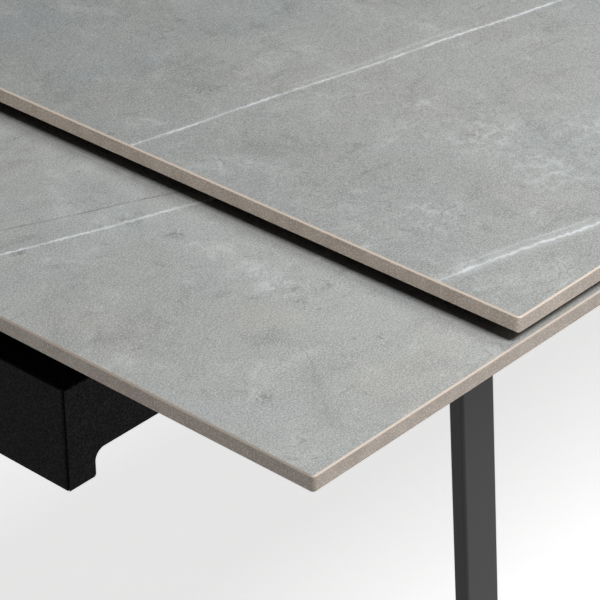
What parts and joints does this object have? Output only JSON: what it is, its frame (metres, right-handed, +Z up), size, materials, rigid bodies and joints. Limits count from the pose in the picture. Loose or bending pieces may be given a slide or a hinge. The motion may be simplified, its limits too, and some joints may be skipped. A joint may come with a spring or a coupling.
{
  "type": "extendable dining table",
  "caption": "Rectangular stone-topped dining table with slanted steel legs and a stone leaf that pulls out on telescopic slides from under each end.",
  "frame": {"origin": "on the floor under the table's centre", "axes": "+X along the table towards the right end, +Y across it towards the back side, +Z up"},
  "size_m": [1.982, 0.9, 0.76],
  "materials": {
    "grey_stone": "honed grey with pale veins, beige body at the edges",
    "black_powder_coat": "fine-textured matt powder coat",
    "black_painted_wood": "satin black paint",
    "black_rubber": "matt",
    "black_plastic": "fine matt grain",
    "zinc_steel": "bright zinc plate",
    "fastener_steel": "blackened zinc"
  },
  "bodies": {
    "leaf_left_carriage": {"carriage_screws_left": "fastener_steel", "leaf_left": "grey_stone", "leaf_pads_left": "black_rubber", "leaf_tube_caps_left": "black_plastic", "leaf_tube_inner_left": "black_powder_coat", "leaf_tube_middle_left": "black_powder_coat", "leaf_tube_outer_left": "black_powder_coat", "pull_board_left": "black_painted_wood", "side_board_left_back": "black_painted_wood", "side_board_left_front": "black_painted_wood", "slide_inner_left_back": "zinc_steel", "slide_inner_left_front": "zinc_steel"},
    "leaf_right_carriage": {"carriage_screws_right": "fastener_steel", "leaf_pads_right": "black_rubber", "leaf_right": "grey_stone", "leaf_tube_caps_right": "black_plastic", "leaf_tube_inner_right": "black_powder_coat", "leaf_tube_middle_right": "black_powder_coat", "leaf_tube_outer_right": "black_powder_coat", "pull_board_right": "black_painted_wood", "side_board_right_back": "black_painted_wood", "side_board_right_front": "black_painted_wood", "slide_inner_right_back": "zinc_steel", "slide_inner_right_front": "zinc_steel"},
    "frame": {"closed_stops": "black_rubber", "cross_beam_left": "black_powder_coat", "cross_beam_right": "black_powder_coat", "end_link_left_back": "black_powder_coat", "end_link_left_front": "black_powder_coat", "end_link_right_back": "black_powder_coat", "end_link_right_front": "black_powder_coat", "foot_glides": "black_plastic", "inner_rail_back": "black_powder_coat", "inner_rail_caps": "black_plastic", "inner_rail_front": "black_powder_coat", "leg_bolts": "fastener_steel", "leg_left_back": "black_powder_coat", "leg_left_front": "black_powder_coat", "leg_right_back": "black_powder_coat", "leg_right_front": "black_powder_coat", "main_top": "grey_stone", "rivet_nuts": "fastener_steel", "side_rail_back": "black_powder_coat", "side_rail_caps": "black_plastic", "side_rail_front": "black_powder_coat", "slide_outer_left_back": "zinc_steel", "slide_outer_left_front": "zinc_steel", "slide_outer_right_back": "zinc_steel", "slide_outer_right_front": "zinc_steel", "slide_rivets": "fastener_steel", "top_backing_plate": "black_powder_coat", "top_bearer_back": "black_powder_coat", "top_bearer_front": "black_powder_coat", "top_glide_buttons": "black_plastic", "yoke_bar_left": "black_powder_coat", "yoke_bar_right": "black_powder_coat"},
    "slide_left_middles": {"slide_middle_left_back": "zinc_steel", "slide_middle_left_front": "zinc_steel"},
    "slide_right_middles": {"slide_middle_right_back": "zinc_steel", "slide_middle_right_front": "zinc_steel"}
  },
  "joints": [
    {"name": "leaf_left_slide", "type": "slide", "parent": "frame", "child": "leaf_left_carriage", "axis": [-1, 0, 0], "range_m": [-0.191, 0.209]},
    {"name": "slide_left_middles_travel", "type": "slide", "parent": "frame", "child": "slide_left_middles", "axis": [-1, 0, 0], "range_m": [-0.0955, 0.1045]},
    {"name": "leaf_right_slide", "type": "slide", "parent": "frame", "child": "leaf_right_carriage", "axis": [1, 0, 0], "range_m": [-0.191, 0.209]},
    {"name": "slide_right_middles_travel", "type": "slide", "parent": "frame", "child": "slide_right_middles", "axis": [1, 0, 0], "range_m": [-0.0955, 0.1045]}
  ],
  "couplings": [
    {"joint": "slide_left_middles_travel", "follows": "leaf_left_slide", "ratio": 0.5},
    {"joint": "slide_right_middles_travel", "follows": "leaf_right_slide", "ratio": 0.5}
  ]
}
